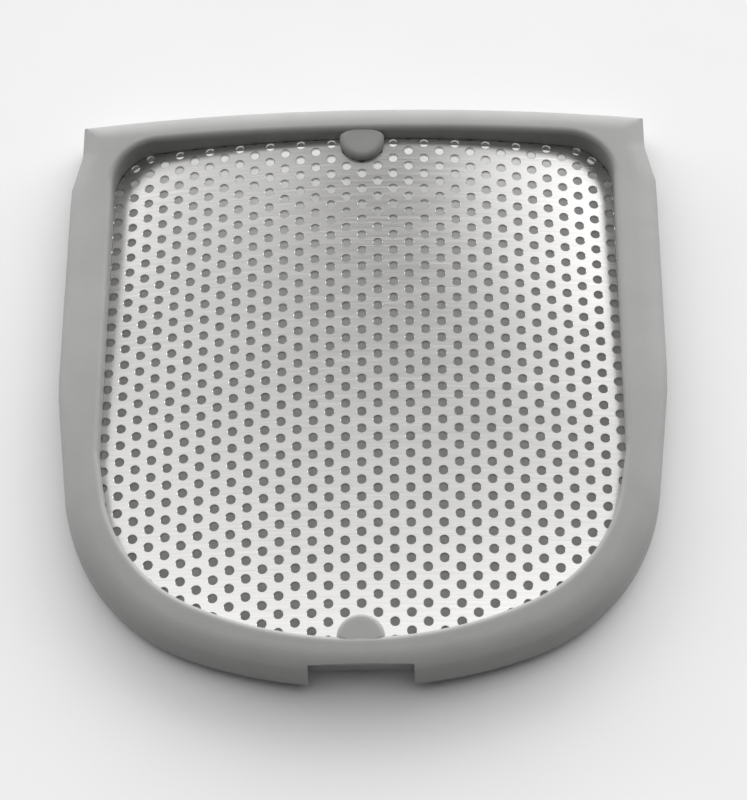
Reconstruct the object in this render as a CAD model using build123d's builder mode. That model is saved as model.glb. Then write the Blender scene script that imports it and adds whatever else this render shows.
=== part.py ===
"""Kettle limescale filter: a perforated stainless sheet held in a soft moulded frame.

The filter lies on a table with its front up: +X to its right, +Y towards the straight top bar
and +Z up. Lengths are in millimetres. The origin is on the table, under the middle of the frame.
Both pieces follow one shallow arch, which is steeper at the top bar than in the middle.
"""
import os
from math import radians, sqrt, tan

from build123d import *

# Outline of the frame and of the opening that the sheet closes
frame_length = 68.75
opening_width = 56.1
side_rail = 4.8
top_bar = 3.3
bottom_rail = 4.05
opening_waist_drop = 8.3
opening_taper = 9.0
opening_bottom_radius = 39.3
opening_corner_radius = 17.7
opening_top_radius = 5.0
frame_waist_drop = 0.3
frame_taper = 6.1
frame_bottom_radius = 47.8
frame_corner_radius = 21.5
waist_rounding = 5.0

# Shoulders, where the upper end of each side steps in
shoulder_step = 1.1
shoulder_from_top = 3.8
shoulder_length = 4.6
shoulder_rounding = 3.5

# Section of the frame, measured from the middle of the sheet
crest_height = 3.0
rear_depth = 1.2
rim_bevel_width = 0.85
rim_bevel_drop = 1.4
face_slope_width = 1.55
face_slope_length = 0.75
inner_bevel = 0.5
parting_depth = 0.35
parting_inset = 0.3

# Half-round tabs on the inner wall, and the notch in the lower edge
tab_radius = 2.5
top_tab_offset = 0.3
top_tab_height = 1.6
bottom_tab_height = 2.4
tab_root = 0.8
tab_bevel = 0.35
notch_width = 10.9
notch_depth = 1.2
notch_rear_flare = 0.5

# Perforated sheet, seated in a groove of the frame. Its openings are drawn at a multiple of
# the true hole and pitch, so that fewer of them leave the same share of the sheet open.
sheet_thickness = 0.4
groove_depth = 1.5
groove_clearance = 0.05
hole_diameter = 1.0
hole_pitch = 2.0
pattern_scale = 2.0
hole_sides = 6
hole_margin = 0.35

# Arch of the sheet's middle: radius across X and height of the crown, at four stations along Y
arch_radius_top = 116.0
arch_radius_upper = 133.0
arch_radius_middle = 238.0
arch_radius_bottom = 124.0
crown_top = 5.7
crown_upper = 5.3
crown_middle = 4.7
crown_bottom = 2.15
upper_station_from_top = 12.0

# Arch of the frame's crest, which is flatter than the sheet at its upper end
crest_radius_top = 196.0
crest_radius_upper = 205.0
crest_rise_top = 2.05
crest_rise_upper = 2.3
arch_overrun = 1.0

# Places worked out from the sizes above
top_edge = frame_length / 2
bottom_edge = -frame_length / 2
opening_top = top_edge - top_bar
opening_bottom = bottom_edge + bottom_rail
half_opening = opening_width / 2
half_frame = half_opening + side_rail
half_top = half_frame - shoulder_step
opening_waist = -opening_waist_drop
frame_waist = -frame_waist_drop
shoulder_high = top_edge - shoulder_from_top
shoulder_low = shoulder_high - shoulder_length
trim = 1.0
prism_plane = Plane.XY.offset(-frame_length)
prism_height = 2 * frame_length
half_sheet = sheet_thickness / 2
half_groove = half_sheet + groove_clearance
station_places = (
    top_edge + arch_overrun,
    top_edge - upper_station_from_top,
    0.0,
    bottom_edge - arch_overrun,
)
sheet_radii = (arch_radius_top, arch_radius_upper, arch_radius_middle, arch_radius_bottom)
sheet_crowns = (crown_top, crown_upper, crown_middle, crown_bottom)


def raised(rise):
    """Arcs at the stations, at one height above the middle of the sheet."""
    return [(radius, crown + rise) for radius, crown in zip(sheet_radii, sheet_crowns)]


def across(radius, crown):
    """One arc across the filter."""
    reach = half_frame + arch_overrun
    edge_height = crown - radius + sqrt(radius**2 - reach**2)
    return ThreePointArc((-reach, edge_height), (0, crown), (reach, edge_height))


def arched_layer(lower_arcs, upper_arcs):
    """The arched space between two sets of arcs."""
    with BuildPart() as layer:
        for station_y, lower, upper in zip(station_places, lower_arcs, upper_arcs):
            with BuildSketch(Plane.XZ.offset(-station_y)):
                with BuildLine():
                    under = across(*lower)
                    over = across(*upper)
                    Line(under @ 1, over @ 1)
                    Line(over @ 0, under @ 0)
                make_face()
        loft()
    return layer.part


def tapered(half_width, waist_y, taper, lower_y):
    """Half the width at a height below the waist, where the sides run in."""
    return half_width - (waist_y - lower_y) * tan(radians(taper))


def has_hole(face):
    """True for a face that runs all the way round the opening."""
    return len(face.inner_wires()) > 0


# Opening: straight sides that run in below the waist, on one wide bottom arc
with BuildSketch() as opening:
    low_y = opening_bottom - trim
    with BuildLine():
        Polyline(
            (0, opening_top),
            (half_opening, opening_top),
            (half_opening, opening_waist),
            (tapered(half_opening, opening_waist, opening_taper, low_y), low_y),
            (0, low_y),
        )
        mirror(about=Plane.YZ)
    make_face()
    with Locations((0, opening_bottom + opening_bottom_radius)):
        Circle(opening_bottom_radius, mode=Mode.INTERSECT)
    fillet(opening.vertices().group_by(Axis.Y)[0], opening_corner_radius)
    fillet(opening.vertices().group_by(Axis.Y)[-1], opening_top_radius)
    fillet(opening.vertices().filter_by_position(Axis.Y, opening_waist, opening_waist), waist_rounding)

# Outer outline: the same form, with shoulders at its upper end
with BuildSketch() as outline:
    low_y = bottom_edge - trim
    with BuildLine():
        Polyline(
            (0, top_edge),
            (half_top, top_edge),
            (half_top, shoulder_high),
            (half_frame, shoulder_low),
            (half_frame, frame_waist),
            (tapered(half_frame, frame_waist, frame_taper, low_y), low_y),
            (0, low_y),
        )
        mirror(about=Plane.YZ)
    make_face()
    with Locations((0, bottom_edge + frame_bottom_radius)):
        Circle(frame_bottom_radius, mode=Mode.INTERSECT)
    fillet(outline.vertices().group_by(Axis.Y)[0], frame_corner_radius)
    shoulders = outline.vertices().filter_by_position(Axis.Y, shoulder_low, shoulder_high)
    fillet(shoulders, shoulder_rounding)
    fillet(outline.vertices().filter_by_position(Axis.Y, frame_waist, frame_waist), waist_rounding)

# Half-round tabs: discs that stand in front of the inner wall and are rooted in it
top_tab_centre = (0, opening_top - top_tab_offset)
bottom_tab_centre = (0, opening_bottom)
with BuildPart() as tabs:
    for tab_centre, tab_height in ((top_tab_centre, top_tab_height), (bottom_tab_centre, bottom_tab_height)):
        with BuildPart() as tab:
            with BuildSketch(prism_plane):
                with Locations(tab_centre):
                    Circle(tab_radius)
                offset(opening.sketch, tab_root, mode=Mode.INTERSECT)
            extrude(amount=prism_height)
            add(arched_layer(raised(-rear_depth), raised(tab_height)), mode=Mode.INTERSECT)
            chamfer(tab.faces().sort_by(Axis.Z)[-1].edges(), tab_bevel)
        add(tab.part)

# Rear lip: the outer wall steps in below the parting line, and the notch is wider there
with BuildPart() as parting_cut:
    with BuildSketch(prism_plane):
        offset(outline.sketch, trim)
        offset(outline.sketch, -parting_inset, mode=Mode.SUBTRACT)
        with Locations((0, bottom_edge)):
            Rectangle(notch_width + 2 * notch_rear_flare, 2 * notch_depth)
    extrude(amount=prism_height)
    add(arched_layer(raised(-rear_depth - trim), raised(-parting_depth)), mode=Mode.INTERSECT)

# Groove all round the opening, a little wider and deeper than the sheet
with BuildPart() as groove_cut:
    with BuildSketch(prism_plane):
        offset(opening.sketch, groove_depth + groove_clearance)
    extrude(amount=prism_height)
    add(arched_layer(raised(-half_groove), raised(half_groove)), mode=Mode.INTERSECT)

# Frame: arched ring with a sloping face, bevelled edges, rear lip, groove and notch
crest_arcs = [
    (crest_radius_top, crown_top + crest_rise_top),
    (crest_radius_upper, crown_upper + crest_rise_upper),
    (arch_radius_middle, crown_middle + crest_height),
    (arch_radius_bottom, crown_bottom + crest_height),
]
with BuildPart() as frame:
    with BuildSketch(prism_plane):
        add(outline.sketch)
        add(opening.sketch, mode=Mode.SUBTRACT)
    extrude(amount=prism_height)
    add(arched_layer(raised(-rear_depth), crest_arcs), mode=Mode.INTERSECT)
    crest = frame.faces().filter_by(has_hole).sort_by(Axis.Z)[-1]
    chamfer(crest.outer_wire().edges(), rim_bevel_width, rim_bevel_drop, reference=crest)
    crest = frame.faces().filter_by(has_hole).sort_by(Axis.Z)[-1]
    chamfer(crest.outer_wire().edges(), face_slope_width, face_slope_length, reference=crest)
    crest = frame.faces().filter_by(has_hole).sort_by(Axis.Z)[-1]
    chamfer(crest.inner_wires()[0].edges(), inner_bevel)
    add(tabs.part)
    add(parting_cut.part, mode=Mode.SUBTRACT)
    add(groove_cut.part, mode=Mode.SUBTRACT)
    with BuildSketch(prism_plane):
        with Locations((0, bottom_edge)):
            Rectangle(notch_width, 2 * notch_depth)
    extrude(amount=prism_height, mode=Mode.SUBTRACT)

# Openings of the sheet: staggered rows, kept clear of the frame and of its tabs
opening_diameter = hole_diameter * pattern_scale
opening_pitch = hole_pitch * pattern_scale
column_pitch = opening_pitch * sqrt(3)
columns = int(half_frame / column_pitch) + 1
rows = int(top_edge / opening_pitch) + 1
lattice = GridLocations(column_pitch, opening_pitch, 2 * columns + 1, 2 * rows + 1).locations
lattice += GridLocations(column_pitch, opening_pitch, 2 * columns, 2 * rows).locations
with BuildSketch() as hole_field:
    offset(opening.sketch, -(opening_diameter / 2 + hole_margin))
    with Locations(top_tab_centre, bottom_tab_centre):
        Circle(tab_radius + opening_diameter / 2 + hole_margin, mode=Mode.SUBTRACT)
field_face = hole_field.sketch.face()
hole_spots = [spot for spot in lattice if field_face.is_inside(spot.position)]

# Sheet: follows the arch and reaches into the groove all round
with BuildPart() as filter_sheet:
    with BuildSketch(prism_plane):
        offset(opening.sketch, groove_depth)
        with Locations(*hole_spots):
            RegularPolygon(opening_diameter / 2, hole_sides, mode=Mode.SUBTRACT)
    extrude(amount=prism_height)
    add(arched_layer(raised(-half_sheet), raised(half_sheet)), mode=Mode.INTERSECT)

# Both pieces are set down together, so that the frame stands on the table about the origin
box = frame.part.bounding_box()
set_down = Location((-box.center().X, -box.center().Y, -box.min.Z))
frame.part.locate(set_down)
filter_sheet.part.locate(set_down)

frame.part.label = "frame"
filter_sheet.part.label = "filter_sheet"
os.makedirs("parts", exist_ok=True)
export_step(frame.part, "parts/frame.step")
export_step(filter_sheet.part, "parts/filter_sheet.step")
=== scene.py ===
"""Looks of a kettle limescale filter, built around its packed solids.

The soft grey frame and the perforated steel sheet are each remade with finer form and finish. Their
sizes are those of the solids: the arch is read from the packed sheet, and the outline from the packed
frame. Lengths are in metres, with +Z up, +Y towards the straight top bar and the table at height 0.
"""
import math

import bmesh
import bpy
import numpy as np
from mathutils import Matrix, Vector


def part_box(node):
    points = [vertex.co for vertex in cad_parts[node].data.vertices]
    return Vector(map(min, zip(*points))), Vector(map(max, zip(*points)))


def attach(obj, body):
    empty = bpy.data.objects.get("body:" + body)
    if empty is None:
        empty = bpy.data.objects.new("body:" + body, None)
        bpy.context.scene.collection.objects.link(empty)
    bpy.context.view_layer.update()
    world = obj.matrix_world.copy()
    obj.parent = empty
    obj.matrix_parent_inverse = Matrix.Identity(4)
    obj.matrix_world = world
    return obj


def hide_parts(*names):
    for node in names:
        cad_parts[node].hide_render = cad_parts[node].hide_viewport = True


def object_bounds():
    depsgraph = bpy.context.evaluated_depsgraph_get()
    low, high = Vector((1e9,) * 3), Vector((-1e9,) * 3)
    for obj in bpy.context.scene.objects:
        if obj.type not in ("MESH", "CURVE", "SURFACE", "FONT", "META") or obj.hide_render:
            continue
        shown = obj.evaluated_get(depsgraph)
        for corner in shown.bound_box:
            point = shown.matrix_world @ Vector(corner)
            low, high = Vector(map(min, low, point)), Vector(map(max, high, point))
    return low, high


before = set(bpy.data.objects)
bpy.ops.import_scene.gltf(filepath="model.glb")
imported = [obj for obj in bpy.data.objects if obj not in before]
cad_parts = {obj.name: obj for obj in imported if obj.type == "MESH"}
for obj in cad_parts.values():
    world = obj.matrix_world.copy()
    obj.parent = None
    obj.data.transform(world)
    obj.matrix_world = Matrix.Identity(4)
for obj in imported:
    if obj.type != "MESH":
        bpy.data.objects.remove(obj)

bl_info = {
    "name": "Kettle limescale filter",
    "version": (1, 0, 0),
    "blender": (4, 5, 0),
    "location": "View3D > Sidebar > Filter",
    "description": "Builds a moulded frame with a perforated steel sheet, on a plain stage",
    "category": "Object",
}

MM = 0.001
CAD_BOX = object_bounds()
FRAME_LOW, FRAME_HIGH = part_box("frame")


class MouldedFrameSizes(bpy.types.PropertyGroup):
    """Sizes of the soft moulded frame."""

    length: bpy.props.FloatProperty(
        name="Length", description="Length of the frame from the top edge to the bottom edge",
        default=68.75 * MM, unit="LENGTH", precision=5)
    opening_width: bpy.props.FloatProperty(
        name="Opening width", description="Width of the opening that the sheet closes",
        default=56.1 * MM, unit="LENGTH", precision=5)
    top_bar: bpy.props.FloatProperty(
        name="Top bar", description="Width of the straight top bar",
        default=3.3 * MM, unit="LENGTH", precision=5)
    bottom_rail: bpy.props.FloatProperty(
        name="Bottom rail", description="Width of the frame at the bottom",
        default=4.05 * MM, unit="LENGTH", precision=5)
    opening_waist_drop: bpy.props.FloatProperty(
        name="Opening waist drop", description="Where the opening starts to run in, below the middle",
        default=8.3 * MM, unit="LENGTH", precision=5)
    opening_taper: bpy.props.FloatProperty(
        name="Opening taper", description="Angle of the opening's sides below its waist",
        default=math.radians(9.0), subtype="ANGLE")
    opening_bottom_radius: bpy.props.FloatProperty(
        name="Opening bottom radius", description="Wide arc at the foot of the opening",
        default=39.3 * MM, unit="LENGTH", precision=5)
    opening_corner_radius: bpy.props.FloatProperty(
        name="Opening corner radius", description="Lower corners of the opening",
        default=17.7 * MM, unit="LENGTH", precision=5)
    opening_top_radius: bpy.props.FloatProperty(
        name="Opening top radius", description="Upper corners of the opening",
        default=5.0 * MM, unit="LENGTH", precision=5)
    frame_waist_drop: bpy.props.FloatProperty(
        name="Frame waist drop", description="Where the frame starts to run in, below the middle",
        default=0.3 * MM, unit="LENGTH", precision=5)
    frame_taper: bpy.props.FloatProperty(
        name="Frame taper", description="Angle of the frame's sides below its waist",
        default=math.radians(6.1), subtype="ANGLE")
    frame_bottom_radius: bpy.props.FloatProperty(
        name="Frame bottom radius", description="Wide arc at the foot of the frame",
        default=47.8 * MM, unit="LENGTH", precision=5)
    frame_corner_radius: bpy.props.FloatProperty(
        name="Frame corner radius", description="Lower corners of the frame",
        default=21.5 * MM, unit="LENGTH", precision=5)
    waist_rounding: bpy.props.FloatProperty(
        name="Waist rounding", description="Radius where the sides start to run in",
        default=5.0 * MM, unit="LENGTH", precision=5)
    shoulder_step: bpy.props.FloatProperty(
        name="Shoulder step", description="How far the upper ends of the sides step in",
        default=1.1 * MM, unit="LENGTH", precision=5)
    shoulder_from_top: bpy.props.FloatProperty(
        name="Shoulder from top", description="Distance of the shoulders below the top edge",
        default=3.8 * MM, unit="LENGTH", precision=5)
    shoulder_length: bpy.props.FloatProperty(
        name="Shoulder length", description="Length of each shoulder's slope",
        default=4.6 * MM, unit="LENGTH", precision=5)
    shoulder_rounding: bpy.props.FloatProperty(
        name="Shoulder rounding", description="Radius at both ends of a shoulder",
        default=3.5 * MM, unit="LENGTH", precision=5)
    crest_height: bpy.props.FloatProperty(
        name="Crest height", description="Top of the frame above the middle of the sheet",
        default=3.0 * MM, unit="LENGTH", precision=5)
    crest_rise_top: bpy.props.FloatProperty(
        name="Crest rise at the top", description="Crest above the middle of the sheet at the top edge",
        default=2.05 * MM, unit="LENGTH", precision=5)
    crest_rise_upper: bpy.props.FloatProperty(
        name="Upper crest rise", description="Crest above the middle of the sheet at the upper station",
        default=2.3 * MM, unit="LENGTH", precision=5)
    crest_flatness_top: bpy.props.FloatProperty(
        name="Crest flatness at the top", description="How much less the crest bends there, over 30 mm",
        default=1.58 * MM, unit="LENGTH", precision=5)
    crest_flatness_upper: bpy.props.FloatProperty(
        name="Upper crest flatness", description="How much less the crest bends there, over 30 mm",
        default=1.19 * MM, unit="LENGTH", precision=5)
    upper_station: bpy.props.FloatProperty(
        name="Upper station", description="Distance of the upper station below the top edge",
        default=12.0 * MM, unit="LENGTH", precision=5)
    rear_depth: bpy.props.FloatProperty(
        name="Rear depth", description="Underside of the frame below the middle of the sheet",
        default=1.2 * MM, unit="LENGTH", precision=5)
    inner_rounding: bpy.props.FloatProperty(
        name="Inner rounding", description="Radius of the crest's inner edge",
        default=0.65 * MM, unit="LENGTH", precision=5)
    rim_rounding: bpy.props.FloatProperty(
        name="Rim rounding", description="Radius of the upper outer edge",
        default=0.6 * MM, unit="LENGTH", precision=5)
    face_width: bpy.props.FloatProperty(
        name="Face width", description="Width of the domed face, from the outer wall to the crest",
        default=2.5 * MM, unit="LENGTH", precision=5)
    face_drop: bpy.props.FloatProperty(
        name="Face drop", description="How far the domed face falls towards the outer wall",
        default=0.8 * MM, unit="LENGTH", precision=5)
    parting_depth: bpy.props.FloatProperty(
        name="Parting depth", description="Parting step below the middle of the sheet",
        default=0.35 * MM, unit="LENGTH", precision=5)
    parting_inset: bpy.props.FloatProperty(
        name="Parting inset", description="How far the rear lip stands back from the outer wall",
        default=0.3 * MM, unit="LENGTH", precision=5)
    parting_rounding: bpy.props.FloatProperty(
        name="Parting rounding", description="Radius of the small edges on the outer wall",
        default=0.12 * MM, unit="LENGTH", precision=5)
    rear_rounding: bpy.props.FloatProperty(
        name="Rear rounding", description="Radius of the edges round the underside",
        default=0.25 * MM, unit="LENGTH", precision=5)
    tab_radius: bpy.props.FloatProperty(
        name="Tab radius", description="Radius of the half-round tabs",
        default=2.5 * MM, unit="LENGTH", precision=5)
    top_tab_offset: bpy.props.FloatProperty(
        name="Top tab offset", description="Centre of the top tab in front of the wall",
        default=0.45 * MM, unit="LENGTH", precision=5)
    top_tab_height: bpy.props.FloatProperty(
        name="Top tab height", description="Middle of the upper tab above the middle of the sheet",
        default=1.7 * MM, unit="LENGTH", precision=5)
    bottom_tab_height: bpy.props.FloatProperty(
        name="Bottom tab height", description="Middle of the lower tab above the middle of the sheet",
        default=3.12 * MM, unit="LENGTH", precision=5)
    tab_slope: bpy.props.FloatProperty(
        name="Tab slope", description="How steeply the top tab falls towards its tip",
        default=math.radians(13), subtype="ANGLE")
    tab_rounding: bpy.props.FloatProperty(
        name="Tab rounding", description="Radius of the tabs' upper edge",
        default=0.55 * MM, unit="LENGTH", precision=5)
    notch_width: bpy.props.FloatProperty(
        name="Notch width", description="Width of the notch in the lower edge",
        default=10.9 * MM, unit="LENGTH", precision=5)
    notch_depth: bpy.props.FloatProperty(
        name="Notch depth", description="Depth of the notch in the lower edge",
        default=1.2 * MM, unit="LENGTH", precision=5)
    notch_lip: bpy.props.FloatProperty(
        name="Notch lip", description="Lower edge of the notch's overhanging lip, below the crest",
        default=0.6 * MM, unit="LENGTH", precision=5)
    notch_undercut: bpy.props.FloatProperty(
        name="Notch undercut", description="How far the notch's back wall stands behind its lip",
        default=1.0 * MM, unit="LENGTH", precision=5)
    notch_flare: bpy.props.FloatProperty(
        name="Notch flare", description="How much wider the notch is on each side of the rear lip",
        default=0.5 * MM, unit="LENGTH", precision=5)
    groove_depth: bpy.props.FloatProperty(
        name="Groove depth", description="How far the sheet reaches into the frame",
        default=1.5 * MM, unit="LENGTH", precision=5)
    groove_clearance: bpy.props.FloatProperty(
        name="Groove clearance", description="Room round the sheet in its groove",
        default=0.05 * MM, unit="LENGTH", precision=5)


class FilterSheetSizes(bpy.types.PropertyGroup):
    """Sizes of the perforated sheet."""

    thickness: bpy.props.FloatProperty(
        name="Thickness", description="Thickness of the steel sheet",
        default=0.4 * MM, unit="LENGTH", precision=5)
    hole_diameter: bpy.props.FloatProperty(
        name="Hole diameter", description="Diameter of the punched holes",
        default=1.0 * MM, unit="LENGTH", precision=5)
    hole_pitch: bpy.props.FloatProperty(
        name="Hole pitch", description="Distance between neighbouring holes",
        default=2.0 * MM, unit="LENGTH", precision=5)
    first_row: bpy.props.FloatProperty(
        name="First row", description="Height on the plan of a hole in the middle column",
        default=0.34 * MM, unit="LENGTH", precision=5)
    hole_sides: bpy.props.IntProperty(
        name="Hole sides", description="Sides that each hole is drawn with", default=18, min=6)
    edge_break: bpy.props.FloatProperty(
        name="Edge break", description="Rolled edge round each punched hole",
        default=0.05 * MM, unit="LENGTH", precision=5)
    edge_land: bpy.props.FloatProperty(
        name="Edge land", description="Least metal between a hole and the cut edge of the sheet",
        default=0.2 * MM, unit="LENGTH", precision=5)


class FilterFinishes(bpy.types.PropertyGroup):
    """Colours of the two pieces and of the table."""

    frame_grey: bpy.props.FloatVectorProperty(
        name="Frame grey", description="Soft moulded frame", subtype="COLOR",
        default=(0.31, 0.31, 0.306), min=0, max=1)
    steel_tint: bpy.props.FloatVectorProperty(
        name="Steel tint", description="Satin stainless steel", subtype="COLOR",
        default=(0.72, 0.715, 0.70), min=0, max=1)
    table_white: bpy.props.FloatVectorProperty(
        name="Table white", description="Pale table under the filter", subtype="COLOR",
        default=(0.80, 0.80, 0.80), min=0, max=1)


# The arch that both pieces follow
ARCH_UNIT = 30 * MM
ARCH_POWERS = [(i, j) for i in (0, 2, 4) for j in range(5)]


def arch_terms(x, y):
    """Terms of the even polynomial that describes the arch."""
    return np.column_stack([(x / ARCH_UNIT) ** i * (y / ARCH_UNIT) ** j for i, j in ARCH_POWERS])


def read_arch():
    """Factors of the polynomial through the middle of the packed sheet."""
    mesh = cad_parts["filter_sheet"].data
    points = np.empty(len(mesh.vertices) * 3)
    mesh.vertices.foreach_get("co", points)
    x, y, z = points.reshape(-1, 3).T
    return np.linalg.lstsq(arch_terms(x, y), z, rcond=None)[0]


ARCH = read_arch()


def arch_height(x, y):
    """Height of the middle of the sheet at places on the plan."""
    return arch_terms(x, y) @ ARCH


def arch_bend(y):
    """Curvature across the middle of the sheet."""
    terms = [ARCH[n] * (y / ARCH_UNIT) ** j for n, (i, j) in enumerate(ARCH_POWERS) if i == 2]
    return -2 * sum(terms) / ARCH_UNIT**2


# Outlines on the plan
def arc(centre, radius, start, end, count):
    """Points on an arc and the directions away from its centre, both ends included."""
    angles = np.linspace(start, end, count)
    away = np.column_stack((np.cos(angles), np.sin(angles)))
    return np.asarray(centre) + radius * away, away


def line(start, end, count):
    """Points on a straight line, both ends included."""
    return np.linspace(start, end, count)


class Foot:
    """Lower right part of an outline: a waist, a tapered side, a corner and a wide bottom arc."""

    def __init__(self, knee, taper, waist_radius, corner_radius, bottom_radius, bottom_y):
        knee = np.array(knee)
        down = np.array((-math.sin(taper), -math.cos(taper)))
        inward = np.array((-math.cos(taper), math.sin(taper)))
        self.taper = taper
        self.waist_radius = waist_radius
        self.waist_centre = knee + np.array((-1, math.tan(taper / 2))) * waist_radius
        self.corner_radius = corner_radius
        self.bottom_radius = bottom_radius
        self.bottom_centre = np.array((0.0, bottom_y + bottom_radius))
        foot = knee + corner_radius * inward - self.bottom_centre
        reach = bottom_radius - corner_radius
        along = -foot @ down + math.sqrt((foot @ down) ** 2 - foot @ foot + reach**2)
        self.corner_centre = knee + along * down + corner_radius * inward
        offset = self.corner_centre - self.bottom_centre
        self.turn = math.atan2(offset[1], offset[0])

    def points(self, counts):
        """Points and outward directions: waist, side, corner and bottom arc down to the middle."""
        waist_count, side_count, corner_count, bottom_count = counts
        waist = arc(self.waist_centre, self.waist_radius, 0, -self.taper, waist_count)
        corner = arc(self.corner_centre, self.corner_radius, -self.taper, self.turn, corner_count)
        bottom = arc(self.bottom_centre, self.bottom_radius, self.turn, -math.pi / 2, bottom_count)
        side = line(waist[0][-1], corner[0][0], side_count)[1:-1]
        side_out = np.tile(waist[1][-1], (len(side), 1))
        return [waist, (side, side_out), (corner[0], corner[1]), (bottom[0][1:], bottom[1][1:])]


class Plan:
    """Places on the plan that both pieces share, worked out from the frame's sizes."""

    def __init__(self, sizes):
        self.top_edge = FRAME_HIGH.y
        self.bottom_edge = self.top_edge - sizes.length
        self.middle_y = (self.top_edge + self.bottom_edge) / 2
        self.opening_top = self.top_edge - sizes.top_bar
        self.opening_bottom = self.bottom_edge + sizes.bottom_rail
        self.half_opening = sizes.opening_width / 2
        self.half_frame = FRAME_HIGH.x
        self.half_top = self.half_frame - sizes.shoulder_step
        self.frame_waist = self.middle_y - sizes.frame_waist_drop
        self.opening_foot = Foot(
            (self.half_opening, self.middle_y - sizes.opening_waist_drop), sizes.opening_taper,
            sizes.waist_rounding, sizes.opening_corner_radius, sizes.opening_bottom_radius,
            self.opening_bottom)
        self.frame_foot = Foot(
            (self.half_frame, self.frame_waist), sizes.frame_taper,
            sizes.waist_rounding, sizes.frame_corner_radius, sizes.frame_bottom_radius,
            self.bottom_edge)


WALL_COUNT = 16
CORNER_COUNT = 14
FOOT_COUNTS = (4, 12, 30, 24)
UP = np.array((0.0, 1.0))
RIGHT = np.array((1.0, 0.0))


def opening_wall(sizes, plan):
    """Right half of the plain opening: points and outward directions from the top to the bottom."""
    radius = sizes.opening_top_radius
    centre = np.array((plan.half_opening - radius, plan.opening_top - radius))
    to_frame_corner = np.array((plan.half_top, plan.top_edge)) - centre
    turn = math.atan2(to_frame_corner[1], to_frame_corner[0])
    top = line((0, plan.opening_top), (centre[0], plan.opening_top), WALL_COUNT)[:-1]
    upper = arc(centre, radius, math.pi / 2, turn, CORNER_COUNT)
    lower = arc(centre, radius, turn, 0, 2 * CORNER_COUNT)
    foot = plan.opening_foot.points(FOOT_COUNTS)
    side = line(lower[0][-1], foot[0][0][0], WALL_COUNT)[1:-1]
    pieces = [
        (top, np.tile(UP, (len(top), 1))),
        upper,
        (lower[0][1:], lower[1][1:]),
        (side, np.tile(RIGHT, (len(side), 1))),
        *foot,
    ]
    return np.vstack([p for p, _ in pieces]), np.vstack([d for _, d in pieces])


class Stations:
    """Matching points all round the frame: its inner wall and its outer rim."""

    def __init__(self, sizes, plan):
        wall, out = opening_wall(sizes, plan)
        rim, slant = meet_outline(wall, out, frame_outline(sizes, plan))
        self.wall = both_halves(wall)
        self.out = both_halves(out)
        self.rim = both_halves(rim)
        self.to_body = both_halves(-out / slant[:, None])


def both_halves(right):
    """A closed loop from a right half that starts and ends on the middle line."""
    left = right[-2:0:-1] * np.array((-1, 1))
    return np.vstack((right, left))


def rounded_corner(before, corner, after, radius, count):
    """Points on the arc that rounds a corner between two straight lines."""
    back = (before - corner) / np.linalg.norm(before - corner)
    ahead = (after - corner) / np.linalg.norm(after - corner)
    half = math.acos(np.clip(back @ ahead, -1, 1)) / 2
    middle = (back + ahead) / np.linalg.norm(back + ahead)
    centre = corner + middle * radius / math.sin(half)
    start = corner + back * radius / math.tan(half) - centre
    end = corner + ahead * radius / math.tan(half) - centre
    first = math.atan2(start[1], start[0])
    swing = math.atan2(start[0] * end[1] - start[1] * end[0], start @ end)
    return arc(centre, radius, first, first + swing, count)[0]


def frame_outline(sizes, plan):
    """Right half of the frame's outer outline, as a fine line from the top to the bottom."""
    shoulder_high = plan.top_edge - sizes.shoulder_from_top
    shoulder_low = shoulder_high - sizes.shoulder_length
    top_middle = np.array((0, plan.top_edge))
    top_corner = np.array((plan.half_top, plan.top_edge))
    high = np.array((plan.half_top, shoulder_high))
    low = np.array((plan.half_frame, shoulder_low))
    waist = np.array((plan.half_frame, plan.frame_waist))
    pieces = [
        [top_middle, top_corner],
        rounded_corner(top_corner, high, low, sizes.shoulder_rounding, CORNER_COUNT),
        rounded_corner(high, low, waist, sizes.shoulder_rounding, CORNER_COUNT),
    ]
    pieces += [points for points, _ in plan.frame_foot.points((8, 3, 120, 120))]
    return np.vstack(pieces)


def meet_outline(starts, rays, outline):
    """Where rays from the inner wall meet the outline, and how squarely they meet it."""
    first = outline[:-1]
    run = outline[1:] - first
    hits = np.empty_like(starts)
    slant = np.empty(len(starts))
    for n, (start, ray) in enumerate(zip(starts, rays)):
        cross = ray[0] * run[:, 1] - ray[1] * run[:, 0]
        cross[np.abs(cross) < 1e-12] = 1e-12
        gap = first - start
        reach = (gap[:, 0] * run[:, 1] - gap[:, 1] * run[:, 0]) / cross
        share = (gap[:, 0] * ray[1] - gap[:, 1] * ray[0]) / cross
        met = (share > -1e-6) & (share < 1 + 1e-6) & (reach > 0)
        nearest = np.where(met, reach, np.inf).argmin()
        hits[n] = start + ray * reach[nearest]
        along = run[nearest] / np.linalg.norm(run[nearest])
        slant[n] = abs(ray[0] * along[1] - ray[1] * along[0])
    return hits, slant


# The moulded frame
ROUND_STEPS = 6
SMALL_STEPS = 2
FACE_STEPS = 6
CREST_STEPS = 3
TAB_SIDES = 48
TAB_CLEAR = 0.02 * MM
TAB_ROOT = 0.3
ARCH_OVERRUN = 1 * MM


def quarter_round(radius, steps):
    """Offsets from a wall and drops below a face, along the round between them."""
    angles = np.linspace(0, math.pi / 2, steps + 1)
    return [(radius * (1 - math.cos(a)), radius * (1 - math.sin(a))) for a in angles]


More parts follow.
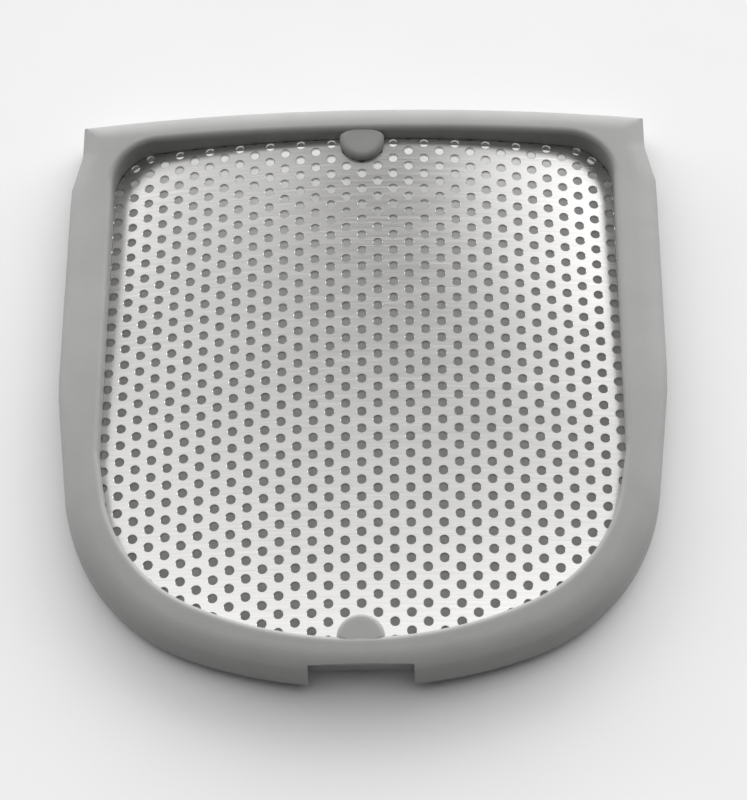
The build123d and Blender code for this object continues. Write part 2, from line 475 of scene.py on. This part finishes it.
def crest_rise(sizes, plan, x, y):
    """Height of the crest above the middle of the sheet: it bends less at the upper end."""
    nodes = (plan.top_edge + ARCH_OVERRUN, plan.top_edge - sizes.upper_station,
             plan.middle_y, plan.bottom_edge - ARCH_OVERRUN)
    square = (x / ARCH_UNIT) ** 2
    rises = (sizes.crest_rise_top + sizes.crest_flatness_top * square,
             sizes.crest_rise_upper + sizes.crest_flatness_upper * square,
             sizes.crest_height, sizes.crest_height)
    total = 0
    for here, rise in zip(nodes, rises):
        share = 1
        for other in nodes:
            if other != here:
                share = share * (y - other) / (here - other)
        total = total + share * rise
    return total


def frame_rings(sizes, sheet):
    """Section of the frame as (measured from, offset, above the sheet or the crest, height)."""
    half_groove = sheet.thickness / 2 + sizes.groove_clearance
    floor = sizes.groove_depth + sizes.groove_clearance
    rear = -sizes.rear_depth
    part = -sizes.parting_depth
    small = sizes.parting_rounding
    lip = sizes.parting_inset

    def dome(offset):
        return sizes.face_drop * (1 - offset / sizes.face_width) ** 2

    rear_round = quarter_round(sizes.rear_rounding, SMALL_STEPS)
    rings = [("wall", o, "sheet", rear + d) for o, d in reversed(rear_round)]
    rings += [("wall", 0, "sheet", -half_groove), ("wall", floor, "sheet", -half_groove)]
    rings += [("wall", floor, "sheet", half_groove), ("wall", 0, "sheet", half_groove)]
    rings += [("wall", o, "crest", -d) for o, d in quarter_round(sizes.inner_rounding, ROUND_STEPS)]
    rings += [("between", (n + 1) / (CREST_STEPS + 1), "crest", 0) for n in range(CREST_STEPS)]
    for offset in np.linspace(sizes.face_width, sizes.rim_rounding, FACE_STEPS, endpoint=False):
        rings.append(("rim", offset, "crest", -dome(offset)))
    for offset, drop in reversed(quarter_round(sizes.rim_rounding, ROUND_STEPS)):
        rings.append(("rim", offset, "crest", -dome(offset) - drop))
    rings += [("rim", o, "sheet", part + d) for o, d in quarter_round(small, SMALL_STEPS)]
    rings += [("rim", lip, "sheet", part)]
    rings += [("rim", lip + o, "sheet", rear + d) for o, d in rear_round]
    return rings


def ring_places(stations, sizes, kind, offset):
    """Places on the plan of one ring of the frame's section."""
    if kind == "wall":
        return stations.wall + stations.out * offset
    if kind == "rim":
        return stations.rim + stations.to_body * offset
    inner = stations.wall + stations.out * sizes.inner_rounding
    outer = stations.rim + stations.to_body * sizes.face_width
    return inner + (outer - inner) * offset


def tab_object(name, centre, radius, low, high, rounding, back, slope=0.0):
    """A disc between two heights above the sheet, with its upper edge rounded and a sloping top.

    Its back half, on the side that back points to, is drawn in to a short root.
    """
    angles = np.linspace(0, 2 * math.pi, TAB_SIDES, endpoint=False)
    depth = np.sin(angles)
    depth[depth * back > 0] *= TAB_ROOT
    away = np.column_stack((np.cos(angles), depth))
    levels = [(0.5, low), (1, low)]
    levels += [(1 - o / radius, high - d) for o, d in quarter_round(rounding, ROUND_STEPS)]
    levels += [(0.6, high), (0.3, high)]
    vertices = []
    for share, height in levels:
        places = centre + away * radius * share
        lean = slope * back * (places[:, 1] - centre[1]) * (height - low) / (high - low)
        vertices.append(np.column_stack((places, arch_height(*places.T) + height + lean)))
    ends = np.array((centre, centre))
    vertices.append(np.column_stack((ends, arch_height(*ends.T) + (low, high))))
    faces = []
    for n in range(TAB_SIDES):
        beside = (n + 1) % TAB_SIDES
        for ring in range(len(levels) - 1):
            first = ring * TAB_SIDES
            faces.append((first + n, first + beside, first + TAB_SIDES + beside, first + TAB_SIDES + n))
        last = (len(levels) - 1) * TAB_SIDES
        faces.append((len(levels) * TAB_SIDES, beside, n))
        faces.append((last + n, last + beside, len(levels) * TAB_SIDES + 1))
    mesh = bpy.data.meshes.new(name)
    mesh.from_pydata(np.vstack(vertices).tolist(), [], faces)
    face_outwards(mesh)
    tab = bpy.data.objects.new(name, mesh)
    bpy.context.scene.collection.objects.link(tab)
    return tab


def frame_tabs(sizes, sheet, plan):
    """The halves of both tabs that lie above and below the sheet."""
    clear = sheet.thickness / 2 + sizes.groove_clearance + TAB_CLEAR
    places = (
        ("top_tab", plan.opening_top - sizes.top_tab_offset, sizes.top_tab_height, 1, sizes.tab_slope),
        ("bottom_tab", plan.opening_bottom, sizes.bottom_tab_height, -1, 0.0),
    )
    tabs = []
    for name, y, height, back, slope in places:
        centre = np.array((0.0, y))
        tabs.append(tab_object(
            name, centre, sizes.tab_radius, clear, height, sizes.tab_rounding, back, math.tan(slope)))
        tabs.append(tab_object(
            name + "_rear", centre, sizes.tab_radius, TAB_CLEAR - sizes.rear_depth, -clear, TAB_CLEAR, back))
    return tabs


def prism_object(name, half_width, profile):
    """A prism that runs across the filter, with an outline of (y, z) places, used only to cut with."""
    mesh = bpy.data.meshes.new(name)
    count = len(profile)
    vertices = [(side * half_width, y, z) for side in (-1, 1) for y, z in profile]
    faces = [range(count), range(count, 2 * count)]
    for k in range(count):
        after = (k + 1) % count
        faces.append((k, after, after + count, k + count))
    mesh.from_pydata(vertices, [], [tuple(face) for face in faces])
    face_outwards(mesh)
    cutter = bpy.data.objects.new(name, mesh)
    bpy.context.scene.collection.objects.link(cutter)
    return cutter


def settle(piece):
    """The piece with its modifiers taken up into a plain mesh."""
    depsgraph = bpy.context.evaluated_depsgraph_get()
    mesh = bpy.data.meshes.new_from_object(piece.evaluated_get(depsgraph))
    piece.modifiers.clear()
    return mesh


def combine(piece, tools, operation):
    """Joins solids to a piece, or cuts them out of it."""
    for tool in tools:
        step = piece.modifiers.new(tool.name, "BOOLEAN")
        step.operation = operation
        step.solver = "EXACT"
        step.object = tool
    piece.data = settle(piece)
    for tool in tools:
        bpy.data.objects.remove(tool)


SHARP_ANGLE = math.radians(38)
WELD = 1e-7


def face_outwards(mesh):
    """Welds a closed mesh and turns its faces outwards."""
    shape = bmesh.new()
    shape.from_mesh(mesh)
    bmesh.ops.remove_doubles(shape, verts=shape.verts, dist=WELD)
    bmesh.ops.recalc_face_normals(shape, faces=shape.faces)
    shape.to_mesh(mesh)
    shape.free()


def frame_mesh(sizes, sheet, plan):
    """The frame as one closed ring of quads, before its notch is cut."""
    stations = Stations(sizes, plan)
    rings = frame_rings(sizes, sheet)
    count = len(stations.wall)
    vertices = []
    for kind, offset, level, height in rings:
        places = ring_places(stations, sizes, kind, offset)
        rise = arch_height(*places.T) + height
        if level == "crest":
            rise = rise + crest_rise(sizes, plan, *places.T)
        vertices.append(np.column_stack((places, rise)))
    faces = []
    for ring in range(len(rings)):
        following = (ring + 1) % len(rings)
        for n in range(count):
            beside = (n + 1) % count
            faces.append((ring * count + n, ring * count + beside,
                          following * count + beside, following * count + n))
    mesh = bpy.data.meshes.new("moulded_frame")
    mesh.from_pydata(np.vstack(vertices).tolist(), [], faces)
    face_outwards(mesh)
    return mesh


class LIMESCALE_FILTER_OT_moulded_frame(bpy.types.Operator):
    """Make the soft grey frame with its tabs, groove, parting step and notch"""

    bl_idname = "limescale_filter.moulded_frame"
    bl_label = "Moulded frame"

    def execute(self, context):
        sizes = context.scene.moulded_frame_sizes
        sheet = context.scene.filter_sheet_sizes
        plan = Plan(sizes)
        piece = bpy.data.objects.new("moulded_frame", frame_mesh(sizes, sheet, plan))
        context.scene.collection.objects.link(piece)
        combine(piece, frame_tabs(sizes, sheet, plan), "UNION")
        half = sizes.notch_width / 2
        flared = half + sizes.notch_flare
        back = plan.bottom_edge + sizes.notch_depth
        front = plan.bottom_edge - sizes.notch_depth
        parting = float(arch_height(np.array([half]), np.array([back]))[0]) - sizes.parting_depth
        low = -sizes.crest_height
        high = CAD_BOX[1][2] + sizes.crest_height
        deep = back + sizes.notch_undercut
        edge = np.array([back])
        crest = arch_height(np.zeros(1), edge) + crest_rise(sizes, plan, np.zeros(1), edge)
        lip = float(crest[0]) - sizes.notch_lip
        notch = prism_object(
            "notch", half, ((front, low), (deep, low), (deep, lip), (back, lip), (back, high), (front, high)))
        flare = prism_object(
            "flare", flared, ((front, low), (back, low), (back, parting), (front, parting)))
        combine(piece, (notch, flare), "DIFFERENCE")
        face_outwards(piece.data)
        piece.data.shade_smooth()
        piece.data.set_sharp_from_angle(angle=SHARP_ANGLE)
        piece.data.materials.clear()
        piece.data.materials.append(frame_finish(context.scene.filter_finishes))
        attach(piece, "root")
        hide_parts("frame")
        return {"FINISHED"}


# The perforated sheet
def add_node(tree, kind, values=None, **settings):
    """A node with its settings and the values of its named inputs."""
    node = tree.nodes.new(kind)
    for name, value in settings.items():
        setattr(node, name, value)
    for name, value in (values or {}).items():
        source = getattr(value, "is_output", None)
        if source:
            tree.links.new(value, node.inputs[name])
        else:
            node.inputs[name].default_value = value
    return node


def calculate(tree, operation, first, second=0.0):
    """A sum or the like of two values, as a socket."""
    node = add_node(tree, "ShaderNodeMath", {0: first, 1: second}, operation=operation)
    return node.outputs[0]


def moved(tree, geometry, rise):
    """Geometry moved up by a value."""
    shift = add_node(tree, "ShaderNodeCombineXYZ", {"Z": rise}).outputs[0]
    return add_node(tree, "GeometryNodeTransform", {"Geometry": geometry, "Translation": shift}).outputs[0]


def joined(tree, parts):
    """Several geometries as one."""
    join = tree.nodes.new("GeometryNodeJoinGeometry")
    for part in reversed(parts):
        tree.links.new(part, join.inputs[0])
    return join.outputs[0]


def perforation_tree():
    """Node tree that punches staggered round holes in a flat outline and gives it thickness."""
    tree = bpy.data.node_groups.new("perforated_sheet", "GeometryNodeTree")
    tree.is_modifier = True
    face = tree.interface
    face.new_socket(name="Outline", in_out="INPUT", socket_type="NodeSocketGeometry")
    for name in ("Hole diameter", "Hole pitch", "First row", "Thickness", "Edge break", "Edge land"):
        face.new_socket(name=name, in_out="INPUT", socket_type="NodeSocketFloat")
    for name in ("Hole sides", "Columns", "Rows"):
        face.new_socket(name=name, in_out="INPUT", socket_type="NodeSocketInt")
    face.new_socket(name="Steel", in_out="INPUT", socket_type="NodeSocketMaterial")
    face.new_socket(name="Sheet", in_out="OUTPUT", socket_type="NodeSocketGeometry")
    given = tree.nodes.new("NodeGroupInput").outputs
    outline = given["Outline"]
    pitch = given["Hole pitch"]
    edge_break = given["Edge break"]
    thickness = given["Thickness"]
    hole_radius = calculate(tree, "DIVIDE", given["Hole diameter"], 2.0)
    mouth_radius = calculate(tree, "ADD", hole_radius, edge_break)
    half = calculate(tree, "DIVIDE", thickness, 2.0)
    below = calculate(tree, "MULTIPLY", half, -1.0)

    # Staggered columns: every second one is moved up by half a pitch
    column_step = calculate(tree, "MULTIPLY", pitch, math.sqrt(3) / 2)
    wide = calculate(tree, "MULTIPLY", column_step, calculate(tree, "SUBTRACT", given["Columns"], 1.0))
    tall = calculate(tree, "MULTIPLY", pitch, calculate(tree, "SUBTRACT", given["Rows"], 1.0))
    grid = add_node(tree, "GeometryNodeMeshGrid", {
        "Size X": wide, "Size Y": tall, "Vertices X": given["Columns"], "Vertices Y": given["Rows"]})
    index = tree.nodes.new("GeometryNodeInputIndex").outputs[0]
    column = calculate(tree, "FLOOR", calculate(tree, "DIVIDE", index, given["Rows"]))
    odd = calculate(tree, "MODULO", column, 2.0)
    stagger = calculate(tree, "MULTIPLY", odd, calculate(tree, "DIVIDE", pitch, 2.0))
    raised = calculate(tree, "ADD", stagger, given["First row"])
    shift = add_node(tree, "ShaderNodeCombineXYZ", {"Y": raised}).outputs[0]
    lattice = add_node(tree, "GeometryNodeSetPosition", {
        "Geometry": grid.outputs["Mesh"], "Offset": shift}).outputs[0]
    spots = add_node(tree, "GeometryNodeMeshToPoints", {"Mesh": lattice}).outputs[0]

    # Only the holes that lie wholly inside the outline are punched
    blank = add_node(tree, "GeometryNodeFillCurve", {"Curve": outline}).outputs[0]
    border = add_node(tree, "GeometryNodeCurveToMesh", {"Curve": outline}).outputs[0]
    nearest = add_node(tree, "GeometryNodeProximity", {0: border}, target_element="EDGES")
    room = calculate(tree, "ADD", mouth_radius, given["Edge land"])
    far = add_node(tree, "FunctionNodeCompare", {0: nearest.outputs["Distance"], 1: room},
                   operation="GREATER_THAN").outputs[0]
    place = tree.nodes.new("GeometryNodeInputPosition").outputs[0]
    above = add_node(tree, "ShaderNodeVectorMath", {0: place, 1: (0, 0, 1)}).outputs[0]
    probe = add_node(tree, "GeometryNodeRaycast", {
        "Target Geometry": blank, "Source Position": above, "Ray Length": 2.0})
    inside = add_node(tree, "FunctionNodeBooleanMath", {0: probe.outputs["Is Hit"], 1: far},
                      operation="AND").outputs[0]
    outside = add_node(tree, "FunctionNodeBooleanMath", {0: inside}, operation="NOT").outputs[0]
    spots = add_node(tree, "GeometryNodeDeleteGeometry", {
        "Geometry": spots, "Selection": outside}).outputs[0]

    # Both faces, with the mouths of the holes left open
    mouth = add_node(tree, "GeometryNodeCurvePrimitiveCircle", {
        "Resolution": given["Hole sides"], "Radius": mouth_radius}).outputs[0]
    mouths = add_node(tree, "GeometryNodeInstanceOnPoints", {"Points": spots, "Instance": mouth}).outputs[0]
    mouths = add_node(tree, "GeometryNodeRealizeInstances", {"Geometry": mouths}).outputs[0]
    punched = add_node(tree, "GeometryNodeFillCurve", {"Curve": joined(tree, [outline, mouths])}).outputs[0]
    upper = moved(tree, punched, half)
    lower = moved(tree, add_node(tree, "GeometryNodeFlipFaces", {"Mesh": punched}).outputs[0], below)

    # Wall of one hole: a rolled edge, a straight wall and a rolled edge
    straight = calculate(tree, "SUBTRACT", thickness, calculate(tree, "MULTIPLY", edge_break, 2.0))
    levels = [
        (mouth_radius, hole_radius, edge_break, below),
        (hole_radius, hole_radius, straight, calculate(tree, "ADD", below, edge_break)),
        (hole_radius, mouth_radius, edge_break, calculate(tree, "SUBTRACT", half, edge_break)),
    ]
    walls = []
    for low_radius, high_radius, depth, rise in levels:
        cone = add_node(tree, "GeometryNodeMeshCone", {
            "Vertices": given["Hole sides"], "Radius Bottom": low_radius,
            "Radius Top": high_radius, "Depth": depth}, fill_type="NONE")
        walls.append(moved(tree, cone.outputs["Mesh"], rise))
    lining = add_node(tree, "GeometryNodeFlipFaces", {"Mesh": joined(tree, walls)}).outputs[0]
    linings = add_node(tree, "GeometryNodeInstanceOnPoints", {"Points": spots, "Instance": lining}).outputs[0]

    # Cut edge of the sheet
    up = add_node(tree, "ShaderNodeCombineXYZ", {"Z": thickness}).outputs[0]
    edge = add_node(tree, "GeometryNodeExtrudeMesh", {
        "Mesh": moved(tree, border, below), "Offset": up, "Offset Scale": 1.0}, mode="EDGES").outputs[0]

    whole = joined(tree, [upper, lower, linings, edge])
    whole = add_node(tree, "GeometryNodeRealizeInstances", {"Geometry": whole}).outputs[0]
    whole = add_node(tree, "GeometryNodeMergeByDistance", {"Geometry": whole, "Distance": 1e-6}).outputs[0]
    finished = add_node(tree, "GeometryNodeSetMaterial", {
        "Geometry": whole, "Material": given["Steel"]}).outputs[0]
    tree.links.new(finished, tree.nodes.new("NodeGroupOutput").inputs[0])
    return tree


def unrolled(places):
    """Places on the plan, laid out on the flat sheet before it was bent."""
    x, y = places.T
    return np.column_stack((x + arch_bend(y) ** 2 * x**3 / 6, y))


def rolled(flat):
    """Points of the flat sheet, bent to the arch."""
    across, y, height = flat.T
    x = across - arch_bend(y) ** 2 * across**3 / 6
    return np.column_stack((x, y, arch_height(x, y) + height))


def arch_normals(points):
    """Directions square to the arch."""
    step = 0.1 * MM
    x, y = points[:, 0], points[:, 1]
    slope_x = (arch_height(x + step, y) - arch_height(x - step, y)) / (2 * step)
    slope_y = (arch_height(x, y + step) - arch_height(x, y - step)) / (2 * step)
    normals = np.column_stack((-slope_x, -slope_y, np.ones(len(points))))
    return normals / np.linalg.norm(normals, axis=1)[:, None]


def outline_curve(places):
    """A closed line on the plan, as a curve object."""
    curve = bpy.data.curves.new("sheet_outline", "CURVE")
    curve.dimensions = "3D"
    spline = curve.splines.new("POLY")
    spline.points.add(len(places) - 1)
    for point, (x, y) in zip(spline.points, places):
        point.co = (x, y, 0, 1)
    spline.use_cyclic_u = True
    piece = bpy.data.objects.new("sheet_outline", curve)
    bpy.context.scene.collection.objects.link(piece)
    return piece


def bend_sheet(mesh):
    """Bends a flat perforated sheet to the arch and gives its two faces the arch's own shading."""
    face_outwards(mesh)
    flat = np.empty(len(mesh.vertices) * 3)
    mesh.vertices.foreach_get("co", flat)
    points = rolled(flat.reshape(-1, 3))
    face_normals = np.empty(len(mesh.polygons) * 3)
    mesh.polygons.foreach_get("normal", face_normals)
    level = face_normals.reshape(-1, 3)[:, 2]
    level[np.abs(level) < 0.99] = 0
    mesh.vertices.foreach_set("co", points.ravel())
    mesh.update()
    mesh.shade_smooth()
    mesh.set_sharp_from_angle(angle=SHARP_ANGLE)
    corners = np.empty(len(mesh.loops), dtype=np.int32)
    mesh.loops.foreach_get("vertex_index", corners)
    sizes = np.empty(len(mesh.polygons), dtype=np.int32)
    mesh.polygons.foreach_get("loop_total", sizes)
    normals = arch_normals(points)[corners] * np.repeat(np.round(level), sizes)[:, None]
    mesh.normals_split_custom_set(normals.tolist())


class LIMESCALE_FILTER_OT_perforated_sheet(bpy.types.Operator):
    """Make the arched steel sheet with its staggered round holes"""

    bl_idname = "limescale_filter.perforated_sheet"
    bl_label = "Perforated sheet"

    def execute(self, context):
        sizes = context.scene.filter_sheet_sizes
        frame_sizes = context.scene.moulded_frame_sizes
        plan = Plan(frame_sizes)
        wall, out = opening_wall(frame_sizes, plan)
        border = both_halves(wall + out * frame_sizes.groove_depth)
        blank = outline_curve(unrolled(border))
        tree = perforation_tree()
        columns = 4 * math.ceil(plan.half_frame / (2 * sizes.hole_pitch)) + 1
        rows = 2 * math.ceil(frame_sizes.length / (2 * sizes.hole_pitch)) + 3
        values = {
            "Hole diameter": sizes.hole_diameter, "Hole pitch": sizes.hole_pitch,
            "First row": sizes.first_row, "Thickness": sizes.thickness,
            "Edge break": sizes.edge_break, "Edge land": sizes.edge_land,
            "Hole sides": sizes.hole_sides, "Columns": columns, "Rows": rows,
            "Steel": sheet_finish(context.scene.filter_finishes),
        }
        punch = blank.modifiers.new("perforated_sheet", "NODES")
        punch.node_group = tree
        for socket in tree.interface.items_tree:
            if socket.in_out == "INPUT" and socket.name in values:
                punch[socket.identifier] = values[socket.name]
        mesh = settle(blank)
        mesh.name = "perforated_sheet"
        bend_sheet(mesh)
        piece = bpy.data.objects.new("perforated_sheet", mesh)
        context.scene.collection.objects.link(piece)
        bpy.data.objects.remove(blank)
        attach(piece, "root")
        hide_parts("filter_sheet")
        return {"FINISHED"}


# Finishes
def surface_noise():
    """Node group: soft noise on the piece's own coordinates, between a low and a high value."""
    name = "surface_noise"
    if name in bpy.data.node_groups:
        return bpy.data.node_groups[name]
    tree = bpy.data.node_groups.new(name, "ShaderNodeTree")
    face = tree.interface
    face.new_socket(name="Repeats", in_out="INPUT", socket_type="NodeSocketVector")
    for value in ("Detail", "Low", "High"):
        face.new_socket(name=value, in_out="INPUT", socket_type="NodeSocketFloat")
    face.new_socket(name="Value", in_out="OUTPUT", socket_type="NodeSocketFloat")
    given = tree.nodes.new("NodeGroupInput").outputs
    place = tree.nodes.new("ShaderNodeTexCoord").outputs["Object"]
    stretched = add_node(tree, "ShaderNodeVectorMath", {0: place, 1: given["Repeats"]},
                         operation="MULTIPLY").outputs[0]
    noise = add_node(tree, "ShaderNodeTexNoise", {
        "Vector": stretched, "Scale": 1.0, "Detail": given["Detail"], "Roughness": 0.6})
    spread = add_node(tree, "ShaderNodeMapRange", {
        "Value": noise.outputs[0], "From Min": 0.3, "From Max": 0.7,
        "To Min": given["Low"], "To Max": given["High"]})
    tree.links.new(spread.outputs[0], tree.nodes.new("NodeGroupOutput").inputs[0])
    return tree


def noise_value(tree, repeats, low, high, detail=2.0):
    """Soft noise between two values, with so many repeats per metre along X, Y and Z."""
    node = add_node(tree, "ShaderNodeGroup", node_tree=surface_noise())
    node.inputs["Repeats"].default_value = repeats
    node.inputs["Detail"].default_value = detail
    node.inputs["Low"].default_value = low
    node.inputs["High"].default_value = high
    return node.outputs["Value"]


def tinted(tree, colour, tone):
    """A colour made lighter and darker by a tone."""
    node = add_node(tree, "ShaderNodeVectorMath", {0: tuple(colour)[:3], "Scale": tone}, operation="SCALE")
    return node.outputs[0]


def new_finish(name):
    """An empty material, its node tree and its main shader."""
    finish = bpy.data.materials.new(name)
    finish.use_nodes = True
    tree = finish.node_tree
    shader = tree.nodes["Principled BSDF"]
    return finish, tree, shader


def frame_finish(colours):
    """Matt grey moulded rubber: faint clouds of tone, fine grain and a dull skin."""
    finish, tree, shader = new_finish("grey_moulded_rubber")
    clouds = noise_value(tree, (160, 160, 160), 0.96, 1.04, 3)
    grain = noise_value(tree, (7000, 7000, 7000), 0.97, 1.03, 2)
    tone = calculate(tree, "MULTIPLY", clouds, grain)
    tree.links.new(tinted(tree, colours.frame_grey, tone), shader.inputs["Base Color"])
    tree.links.new(noise_value(tree, (900, 900, 900), 0.52, 0.64, 3), shader.inputs["Roughness"])
    height = noise_value(tree, (5000, 5000, 5000), 0.0, 1.0, 3)
    bump = add_node(tree, "ShaderNodeBump", {"Height": height, "Strength": 0.25, "Distance": 0.02 * MM})
    tree.links.new(bump.outputs[0], shader.inputs["Normal"])
    shader.inputs["Specular IOR Level"].default_value = 0.35
    return finish


def sheet_finish(colours):
    """Satin stainless steel, brushed along the width of the sheet."""
    finish, tree, shader = new_finish("brushed_stainless_steel")
    streaks = noise_value(tree, (60, 6000, 60), 0.95, 1.05, 3)
    clouds = noise_value(tree, (90, 120, 90), 0.98, 1.02, 2)
    tone = calculate(tree, "MULTIPLY", streaks, clouds)
    tree.links.new(tinted(tree, colours.steel_tint, tone), shader.inputs["Base Color"])
    tree.links.new(noise_value(tree, (80, 4000, 80), 0.2, 0.28, 3), shader.inputs["Roughness"])
    height = noise_value(tree, (100, 9000, 100), 0.0, 1.0, 2)
    bump = add_node(tree, "ShaderNodeBump", {"Height": height, "Strength": 0.2, "Distance": 0.004 * MM})
    tree.links.new(bump.outputs[0], shader.inputs["Normal"])
    shader.inputs["Metallic"].default_value = 1.0
    return finish


def table_finish(colours):
    """Plain pale table top."""
    finish, tree, shader = new_finish("pale_table")
    tone = noise_value(tree, (40, 40, 40), 0.99, 1.01, 2)
    tree.links.new(tinted(tree, colours.table_white, tone), shader.inputs["Base Color"])
    shader.inputs["Roughness"].default_value = 0.8
    shader.inputs["Specular IOR Level"].default_value = 0.2
    return finish


# Stage: table, soft light and camera
IMAGE_WIDTH = 747
IMAGE_HEIGHT = 800
FOCAL_PIXELS = 2899
SENSOR = 36.0
CAMERA_PLACE = (10.62 * MM, -154.80 * MM, 275.32 * MM)
CAMERA_TURN = (29.403, 1.960, 0.040)
TABLE_HALF = 1.5
SKY_LEVEL = 0.02
SOFT_PANELS = [
    # Compass direction from +Y towards +X and height, both in degrees, half width and strength
    (-45, 8, 42, 3.5),
    (0, 8, 42, 3.8),
    (45, 8, 42, 4.4),
    (28, 38, 26, 0.8),
    (-65, 62, 35, 1.1),
    (70, 62, 35, 1.2),
    (180, 80, 30, 0.8),
    (-90, 20, 45, 0.2),
]


def panel_direction(turn, height):
    """Direction of a soft panel."""
    turn, height = math.radians(turn), math.radians(height)
    return (math.sin(turn) * math.cos(height), math.cos(turn) * math.cos(height), math.sin(height))


def studio_light(context):
    """Lights the studio softly, with broad brighter panels that the steel can show."""
    world = bpy.data.worlds.new("studio")
    context.scene.world = world
    world.use_nodes = True
    tree = world.node_tree
    direction = tree.nodes.new("ShaderNodeTexCoord").outputs["Generated"]
    level = SKY_LEVEL
    for turn, height, half_width, strength in SOFT_PANELS:
        facing = add_node(tree, "ShaderNodeVectorMath", {
            0: direction, 1: panel_direction(turn, height)}, operation="DOT_PRODUCT").outputs["Value"]
        glow = add_node(tree, "ShaderNodeMapRange", {
            "Value": facing, "From Min": math.cos(math.radians(half_width)), "From Max": 1.0,
            "To Min": 0.0, "To Max": strength}, interpolation_type="SMOOTHSTEP").outputs[0]
        level = calculate(tree, "ADD", glow, level)
    tree.links.new(level, tree.nodes["Background"].inputs["Color"])


class LIMESCALE_FILTER_OT_stage(bpy.types.Operator):
    """Lay the pale table, light it and set the camera"""

    bl_idname = "limescale_filter.stage"
    bl_label = "Stage"

    def execute(self, context):
        scene = context.scene
        mesh = bpy.data.meshes.new("table")
        reach = TABLE_HALF
        mesh.from_pydata(
            [(-reach, -reach, 0), (reach, -reach, 0), (reach, reach, 0), (-reach, reach, 0)], [], [(0, 1, 2, 3)])
        table = bpy.data.objects.new("table", mesh)
        scene.collection.objects.link(table)
        mesh.materials.append(table_finish(scene.filter_finishes))
        studio_light(context)
        lens = bpy.data.cameras.new("camera")
        lens.sensor_width = SENSOR
        lens.lens = FOCAL_PIXELS * SENSOR / max(IMAGE_WIDTH, IMAGE_HEIGHT)
        camera = bpy.data.objects.new("camera", lens)
        camera.location = CAMERA_PLACE
        camera.rotation_euler = [math.radians(angle) for angle in CAMERA_TURN]
        scene.collection.objects.link(camera)
        scene.camera = camera
        scene.view_settings.view_transform = "Standard"
        return {"FINISHED"}


class LIMESCALE_FILTER_PT_sidebar(bpy.types.Panel):
    """Steps that build the filter, with the sizes and colours that can be changed"""

    bl_idname = "LIMESCALE_FILTER_PT_sidebar"
    bl_label = "Limescale filter"
    bl_space_type = "VIEW_3D"
    bl_region_type = "UI"
    bl_category = "Filter"

    def draw(self, context):
        for operator in OPERATORS:
            self.layout.operator(operator.bl_idname)
        for name in PROPERTY_GROUPS:
            settings = getattr(context.scene, name)
            self.layout.label(text=settings.__class__.__doc__)
            for key in settings.__annotations__:
                self.layout.prop(settings, key)


OPERATORS = [
    LIMESCALE_FILTER_OT_moulded_frame,
    LIMESCALE_FILTER_OT_perforated_sheet,
    LIMESCALE_FILTER_OT_stage,
]
PROPERTY_GROUPS = {
    "moulded_frame_sizes": MouldedFrameSizes,
    "filter_sheet_sizes": FilterSheetSizes,
    "filter_finishes": FilterFinishes,
}
CLASSES = [*PROPERTY_GROUPS.values(), *OPERATORS, LIMESCALE_FILTER_PT_sidebar]


def register():
    for item in CLASSES:
        bpy.utils.register_class(item)
    for name, group in PROPERTY_GROUPS.items():
        setattr(bpy.types.Scene, name, bpy.props.PointerProperty(type=group))


def unregister():
    for name in PROPERTY_GROUPS:
        delattr(bpy.types.Scene, name)
    for item in reversed(CLASSES):
        bpy.utils.unregister_class(item)


def main():
    register()
    bpy.ops.limescale_filter.moulded_frame()
    bpy.ops.limescale_filter.perforated_sheet()
    bpy.ops.limescale_filter.stage()


if __name__ == "__main__":
    main()
